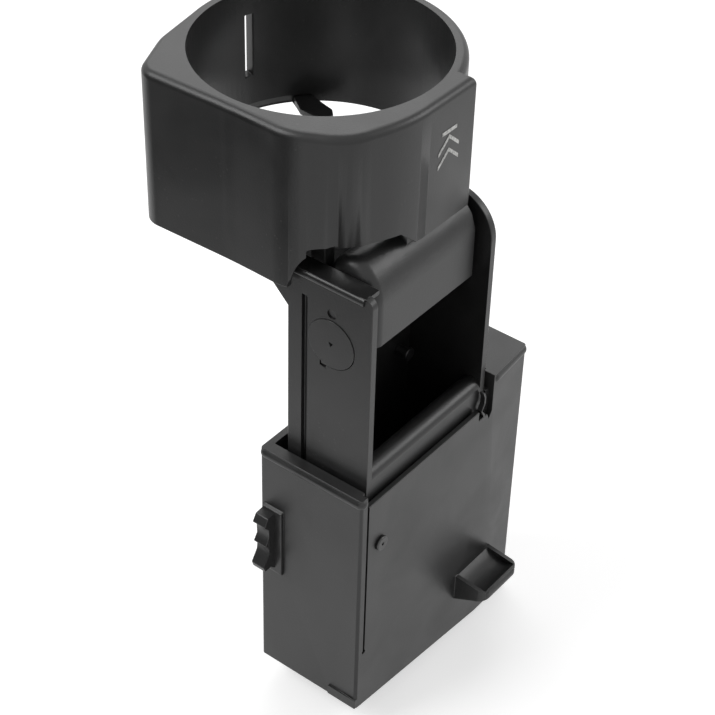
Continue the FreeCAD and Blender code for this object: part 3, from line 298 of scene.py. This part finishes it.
def endsCrowded(edge, marked, radius):
    # Another edge that starts at either end is too short for the rounding to run along
    for vert in edge.verts:
        for other in vert.link_edges:
            if other is edge:
                continue
            length = other.calc_length()
            if other not in marked:
                if length < radius * rounding["plainEnd"]:
                    return True
            elif length < radius * rounding["roundedEnd"]:
                here = edge.other_vert(vert).co - vert.co
                there = other.other_vert(vert).co - vert.co
                if here.angle(there, 0.0) < math.radians(rounding["straight"]):
                    return True
    return False


def dentsLongFace(edge, marked):
    # The rounding would stop where a long smooth edge starts, and pull its faces out of true
    smooth = math.radians(rounding["smoothEdge"])
    for vert in edge.verts:
        others = [other for other in vert.link_edges if other is not edge]
        if any(other in marked for other in others):
            continue
        for other in others:
            if other.calc_length() > rounding["longEdge"] and other.calc_face_angle(0.0) < smooth:
                return True
    return False


def roundableEdges(mesh, edges):
    surface = BVHTree.FromBMesh(mesh)
    corner = math.radians(edges["corner"])
    marked = {edge for edge in mesh.edges if edge.is_manifold and edge.calc_face_angle(0.0) > corner}
    marked = {edge for edge in marked if hasRoom(edge, surface, edges["radius"])}
    while True:
        crowded = {edge for edge in marked
                   if endsCrowded(edge, marked, edges["radius"]) or dentsLongFace(edge, marked)}
        if not crowded:
            return sorted(marked, key=lambda edge: edge.index)
        marked -= crowded


def mouldedPiece(name, nodeName, bodyName, finish, edges):
    mesh = bmesh.new()
    mesh.from_mesh(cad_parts[nodeName].data)
    bmesh.ops.remove_doubles(mesh, verts=mesh.verts, dist=edges["weld"])
    bmesh.ops.dissolve_degenerate(mesh, edges=mesh.edges, dist=edges["weld"])
    bmesh.ops.dissolve_limit(mesh, angle_limit=math.radians(edges["flat"]), verts=mesh.verts,
                             edges=mesh.edges, use_dissolve_boundaries=False)
    mesh.edges.index_update()
    sharp = roundableEdges(mesh, edges)
    mark = mesh.faces.layers.float.new("edge")
    rounded = bmesh.ops.bevel(mesh, geom=sharp, affect="EDGES", offset=edges["radius"],
                              offset_type="OFFSET", segments=edges["segments"], profile=0.5, material=-1,
                              loop_slide=True, clamp_overlap=False)
    for face in rounded["faces"]:
        face[mark] = 1.0
    for face in mesh.faces:
        face.smooth = True
    piece = addObject(name, mesh)
    piece.data.set_sharp_from_angle(angle=math.radians(edges["smooth"]))
    piece.data.materials.append(finishes[finish])
    # Keeps flat faces flat beside their rounded edges
    even = piece.modifiers.new("evenNormals", "WEIGHTED_NORMAL")
    even.mode = edges["even"]
    even.keep_sharp = True
    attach(piece, bodyName)
    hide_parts(nodeName)
    print(name, "faces", len(piece.data.polygons), "rounded edges", len(sharp))


# The ring's curved walls are strips of triangles, so their angles count beside their areas
boxEdges = {"weld": 0.06 * mm, "flat": 0.6, "corner": 40.0, "radius": 0.28 * mm, "segments": 2,
            "smooth": 34.0, "even": "FACE_AREA"}
ringEdges = {**boxEdges, "radius": 0.35 * mm, "segments": 3, "even": "FACE_AREA_WITH_ANGLE"}
capEdges = {**boxEdges, "weld": 0.02 * mm, "radius": 0.12 * mm}

mouldedPiece("housingMoulding", "housing", "housing", "housingBlackPaintedLight", boxEdges)
mouldedPiece("carriageMoulding", "carriage", "carriage", "carriageBlack", boxEdges)
mouldedPiece("ringMoulding", "ring", "ring", "ringBlack", ringEdges)
mouldedPiece("damperCap", "ring_damper", "carriage", "damperBlack", capEdges)
mouldedPiece("panelRivetHead", "panel_rivet", "housing", "blackenedSteel", capEdges)


# Wall behind the ring's swing arch, which hides the gap over the left cheek; it turns with the ring
archWall = {"leftLow": -30.0, "leftHigh": -35.8, "bow": 3, "right": -4.0, "radiusLow": 19.2,
            "radiusHigh": 20.5, "thick": 0.7, "low": -32.0, "high": 50.0, "steps": 20, "y": -22.5, "z": 148.3,
            "smooth": 34.0}


def drawArchWall(sizes):
    mesh = bmesh.new()
    turn = math.radians(sizes["high"] - sizes["low"]) / sizes["steps"]
    strip = []
    for skin, atLeft in ((0.0, True), (sizes["thick"], True), (sizes["thick"], False), (0.0, False)):
        column = []
        for step in range(sizes["steps"] + 1):
            angle = math.radians(sizes["low"]) + turn * step
            share = step / sizes["steps"]
            radius = sizes["radiusLow"] + (sizes["radiusHigh"] - sizes["radiusLow"]) * share + skin
            left = sizes["leftLow"] + (sizes["leftHigh"] - sizes["leftLow"]) * share ** sizes["bow"]
            y = sizes["y"] + radius * math.cos(angle)
            z = sizes["z"] + radius * math.sin(angle)
            column.append(mesh.verts.new((left if atLeft else sizes["right"], y, z)))
        strip.append(column)
    for here, there in zip(strip, strip[1:] + strip[:1]):
        for step in range(sizes["steps"]):
            mesh.faces.new((here[step], here[step + 1], there[step + 1], there[step]))
    for end in (0, sizes["steps"]):
        mesh.faces.new([column[end] for column in strip])
    bmesh.ops.recalc_face_normals(mesh, faces=mesh.faces)
    bmesh.ops.scale(mesh, vec=(mm, mm, mm), verts=mesh.verts)
    for face in mesh.faces:
        face.smooth = True
    piece = addObject("ringArchWall", mesh)
    piece.data.set_sharp_from_angle(angle=math.radians(sizes["smooth"]))
    piece.data.materials.append(finishes["ringBlack"])
    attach(piece, "ring")


drawArchWall(archWall)

# What each solid of the frame is made of
finishNodes = {
    "housingBlackPaintedLight": ("housing", "rear_cover"),
    "carriageBlack": ("carriage",),
    "ringBlack": ("ring",),
    "damperBlack": ("slide_damper", "ring_damper"),
    "platedSteel": ("cover_screws", "spring_anchor", "latch_pin", "guide_pin"),
    "springSteel": ("eject_spring", "hinge_spring"),
    "blackenedSteel": ("retaining_clip", "hinge_pin", "panel_rivet"),
    "rubberBlack": ("stop_buffers", "ring_buffer"),
    "acetalWhite": ("slide_damper_pinion", "latch_follower", "ring_damper_pinion"),
    "acetalBlack": ("slide_rack", "heart_cam", "guide_shoe", "hinge_bush", "ring_gear"),
}
for finish, nodeNames in finishNodes.items():
    for nodeName in nodeNames:
        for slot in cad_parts[nodeName].material_slots:
            slot.material = finishes[finish]
print("nodes given a finish:", sum(len(nodeNames) for nodeNames in finishNodes.values()))


# Pictogram on the ring's flat face: two chevrons and a bar of my own
pictogram = {"x": 2.0, "z": 185.5, "face": -31.0, "proud": 0.05, "wide": 9.5, "rise": 4.2, "stroke": 1.3,
             "step": 4.3, "stepsDown": 0.9, "stepsUp": 0.1, "bar": 1.2, "barGap": 1.2, "barShare": 0.72}
ink = {"speckle": (1400.0, 5.0, 0.7), "speckleRange": (0.36, 0.6), "thin": (0.34, 0.34, 0.33),
       "full": (0.78, 0.78, 0.76), "rough": (0.5, 0.62), "bump": 0.3, "depth": 0.00003}


def whitePrint(look):
    material, tree, shader = newMaterial("paleLabelInk")
    place = addNode(tree, "ShaderNodeTexCoord").outputs["Object"]
    speckle = mapRange(tree, noiseNode(tree, place, *look["speckle"]), *look["speckleRange"], 0.0, 1.0)
    tree.links.new(colourMix(tree, speckle, look["thin"], look["full"]), shader.inputs["Base Color"])
    tree.links.new(mapRange(tree, speckle, 0.0, 1.0, *look["rough"]), shader.inputs["Roughness"])
    addBump(tree, shader, speckle, look["bump"], look["depth"])
    return material


def vertsOf(result):
    return [item for item in result["geom"] if isinstance(item, bmesh.types.BMVert)]


def drawPictogram(sizes):
    mesh = bmesh.new()
    half, stroke = sizes["wide"] / 2, sizes["stroke"]
    upper = sizes["z"] + sizes["step"] * sizes["stepsUp"]
    for low in (sizes["z"] - sizes["step"] * sizes["stepsDown"], upper):
        tips = ((-half, 0.0), (0.0, sizes["rise"]), (half, 0.0))
        lower = [mesh.verts.new((sizes["x"] + x, 0.0, low + z)) for x, z in tips]
        line = [mesh.edges.new((lower[0], lower[1])), mesh.edges.new((lower[1], lower[2]))]
        raised = bmesh.ops.extrude_edge_only(mesh, edges=line)
        bmesh.ops.translate(mesh, vec=(0, 0, stroke), verts=vertsOf(raised))
    barAt = upper + sizes["rise"] + stroke + sizes["barGap"]
    bar = bmesh.ops.create_grid(mesh, x_segments=1, y_segments=1, size=0.5)["verts"]
    bmesh.ops.rotate(mesh, matrix=Matrix.Rotation(math.radians(90), 3, "X"), verts=bar)
    bmesh.ops.scale(mesh, vec=(sizes["wide"] * sizes["barShare"], 1, sizes["bar"]), verts=bar)
    bmesh.ops.translate(mesh, vec=(sizes["x"], 0, barAt), verts=bar)
    top = bmesh.ops.extrude_face_region(mesh, geom=list(mesh.faces))
    bmesh.ops.translate(mesh, vec=(0, -sizes["proud"], 0), verts=vertsOf(top))
    bmesh.ops.recalc_face_normals(mesh, faces=mesh.faces)
    bmesh.ops.translate(mesh, vec=(0, sizes["face"], 0), verts=mesh.verts)
    bmesh.ops.scale(mesh, vec=(mm, mm, mm), verts=mesh.verts)
    piece = addObject("liftPictogram", mesh)
    piece.data.materials.append(whitePrint(ink))
    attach(piece, "ring")


drawPictogram(pictogram)
print("pictogram drawn")


# Floor, lamps, world and camera
studio = {"floor": 3.0, "floorColour": (0.8, 0.8, 0.8), "floorGap": 0.0002, "lift": 0.5, "world": 0.3}
darkCard = {"near": -0.2, "far": -0.5, "front": -0.02, "back": 1.3, "top": 0.4, "lift": 0.0004,
            "colour": (0.01, 0.01, 0.01)}
matte = {"Roughness": 0.9, "Specular IOR Level": 0.1}


def matteMaterial(name, colour):
    material, tree, shader = newMaterial(name)
    shader.inputs["Base Color"].default_value = (*colour, 1.0)
    for label, number in matte.items():
        shader.inputs[label].default_value = number
    return material, tree, shader


def raysThatLook(tree):
    # Camera, glossy and transmission rays see the studio brighter than it lights
    path = addNode(tree, "ShaderNodeLightPath")
    seen = mathNode(tree, "MAXIMUM", path.outputs["Is Camera Ray"], path.outputs["Is Glossy Ray"])
    return mathNode(tree, "MAXIMUM", seen, path.outputs["Is Transmission Ray"])


def makeFloor(settings):
    mesh = bmesh.new()
    bmesh.ops.create_grid(mesh, x_segments=1, y_segments=1, size=settings["floor"])
    bmesh.ops.translate(mesh, vec=(0, 0, cadBox[0][2] - settings["floorGap"]), verts=mesh.verts)
    floor = addObject("floor", mesh)
    material, tree, shader = matteMaterial("paleFloor", settings["floorColour"])
    glow = addNode(tree, "ShaderNodeEmission")
    glow.inputs["Color"].default_value = (1.0, 1.0, 1.0, 1.0)
    tree.links.new(mathNode(tree, "MULTIPLY", raysThatLook(tree), settings["lift"]), glow.inputs["Strength"])
    both = addNode(tree, "ShaderNodeAddShader")
    tree.links.new(shader.outputs[0], both.inputs[0])
    tree.links.new(glow.outputs[0], both.inputs[1])
    tree.links.new(both.outputs[0], tree.nodes["Material Output"].inputs["Surface"])
    floor.data.materials.append(material)


def makeDarkCard(card):
    # A black card beside the left wall, as in a photo studio: only reflections see it
    mesh = bmesh.new()
    low = cadBox[0][2] + card["lift"]
    profile = ((card["near"], low), (card["far"], low), (card["far"], card["top"]))
    rows = [[mesh.verts.new((x, y, z)) for x, z in profile] for y in (card["front"], card["back"])]
    for step in range(len(profile) - 1):
        mesh.faces.new((rows[0][step], rows[0][step + 1], rows[1][step + 1], rows[1][step]))
    holder = addObject("darkCard", mesh)
    holder.data.materials.append(matteMaterial("matBlackCard", card["colour"])[0])
    for ray in ("camera", "diffuse", "shadow", "transmission", "volume_scatter"):
        setattr(holder, "visible_" + ray, False)


def makeWorld(settings):
    world = bpy.data.worlds.new("studio")
    scene.world = world
    world.use_nodes = True
    tree = world.node_tree
    lit = tree.nodes["Background"]
    lit.inputs["Color"].default_value = (1, 1, 1, 1)
    strength = mapRange(tree, raysThatLook(tree), 0.0, 1.0, settings["world"], 1.0)
    tree.links.new(strength, lit.inputs["Strength"])


def addLamp(name, place, target, size, power):
    lamp = bpy.data.lights.new(name, "AREA")
    lamp.shape = "RECTANGLE"
    lamp.size, lamp.size_y = size
    lamp.energy = power
    holder = bpy.data.objects.new(name, lamp)
    holder.location = place
    holder.rotation_euler = (Vector(target) - Vector(place)).to_track_quat("-Z", "Y").to_euler()
    holder.visible_camera = False
    scene.collection.objects.link(holder)


# Place, target, size and power of each lamp
lamps = {
    "overheadBack": ((0.5, 0.4, 0.88), (0, 0, 0.15), (0.8, 0.8), 3.4),
    "overheadLeft": ((-0.62, 0.42, 0.78), (0, 0, 0.1), (0.55, 0.55), 5.0),
    "frontRight": ((0.56, -0.6, 0.58), (0, 0, 0.12), (0.42, 0.42), 2.2),
}
viewpoint = {"azimuth": -52.89, "elevation": 38.90, "roll": 1.71, "place": (-0.3756, -0.2873, 0.4794),
             "sensor": 36.0, "focalPixels": 1950, "picturePixels": 715, "nearest": 0.01}


def makeCamera(view):
    azimuth, elevation, roll = (math.radians(view[turn]) for turn in ("azimuth", "elevation", "roll"))
    right = Vector((math.cos(azimuth), math.sin(azimuth), 0))
    level = math.cos(elevation)
    forward = Vector((-math.sin(azimuth) * level, math.cos(azimuth) * level, -math.sin(elevation)))
    up = right.cross(forward)
    across = right * math.cos(roll) + up * math.sin(roll)
    above = up * math.cos(roll) - right * math.sin(roll)
    data = bpy.data.cameras.new("camera")
    data.sensor_width = view["sensor"]
    data.lens = view["sensor"] * view["focalPixels"] / view["picturePixels"]
    data.clip_start = view["nearest"]
    camera = bpy.data.objects.new("camera", data)
    turned = Matrix((across, above, -forward)).transposed().to_4x4()
    camera.matrix_world = Matrix.Translation(view["place"]) @ turned
    scene.collection.objects.link(camera)
    scene.camera = camera


makeFloor(studio)
makeDarkCard(darkCard)
makeWorld(studio)
for lampName, (place, target, size, power) in lamps.items():
    addLamp(lampName, place, target, size, power)
makeCamera(viewpoint)
scene.view_settings.view_transform = "Standard"
print("studio set")
